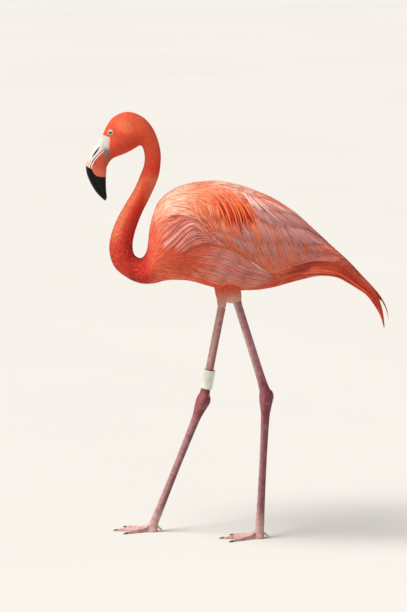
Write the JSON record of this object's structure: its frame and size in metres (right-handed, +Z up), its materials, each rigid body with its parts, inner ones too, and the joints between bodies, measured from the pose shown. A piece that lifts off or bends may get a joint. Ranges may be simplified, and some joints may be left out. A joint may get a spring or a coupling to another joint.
{
  "type": "flamingo",
  "caption": "Life-size still model of an American flamingo walking, with an S-bent neck, folded wings, a downward bent bill, webbed feet and a plain leg band.",
  "frame": {"origin": "on the floor, midway between the bend of the bill and the tip of the tail, in the plane of symmetry of the body", "axes": "+Z up, the bird faces -X, its left side is -Y"},
  "size_m": [0.6123, 0.1812, 0.871],
  "materials": {
    "plumage": "soft overlapping feathers, coral red on head and neck, pale pink and orange on the body",
    "wing_plumage": "long overlapping feathers, orange to pale pink",
    "tail_plumage": "long drooping feathers, scarlet",
    "bill_upper_horn": "satin horn, pale pink with a black tip",
    "bill_lower_horn": "satin horn, coral red with a black tip",
    "eye": "wet, glossy, yellow iris and black pupil",
    "leg_skin": "bare scaly skin, satin pink",
    "claw": "smooth dark horn",
    "band": "plain off-white plastic, blank"
  },
  "bodies": {
    "root": {"eye_left": "eye", "eye_right": "eye", "head": "plumage", "neck_upper": "plumage", "neck_middle": "plumage", "neck_lower": "plumage", "wing_left": "wing_plumage", "wing_right": "wing_plumage", "trunk": "plumage", "tail": "tail_plumage", "thigh_left": "plumage", "shank_left": "leg_skin", "tarsus_left": "leg_skin", "foot_left": "leg_skin", "hind_toe_left": "leg_skin", "claw_left_inner": "claw", "claw_left_middle": "claw", "claw_left_outer": "claw", "thigh_right": "plumage", "shank_right": "leg_skin", "tarsus_right": "leg_skin", "foot_right": "leg_skin", "hind_toe_right": "leg_skin", "claw_right_inner": "claw", "claw_right_middle": "claw", "claw_right_outer": "claw", "bill_upper": "bill_upper_horn", "bill_lower": "bill_lower_horn", "leg_band": "band"}
  },
  "joints": []
}
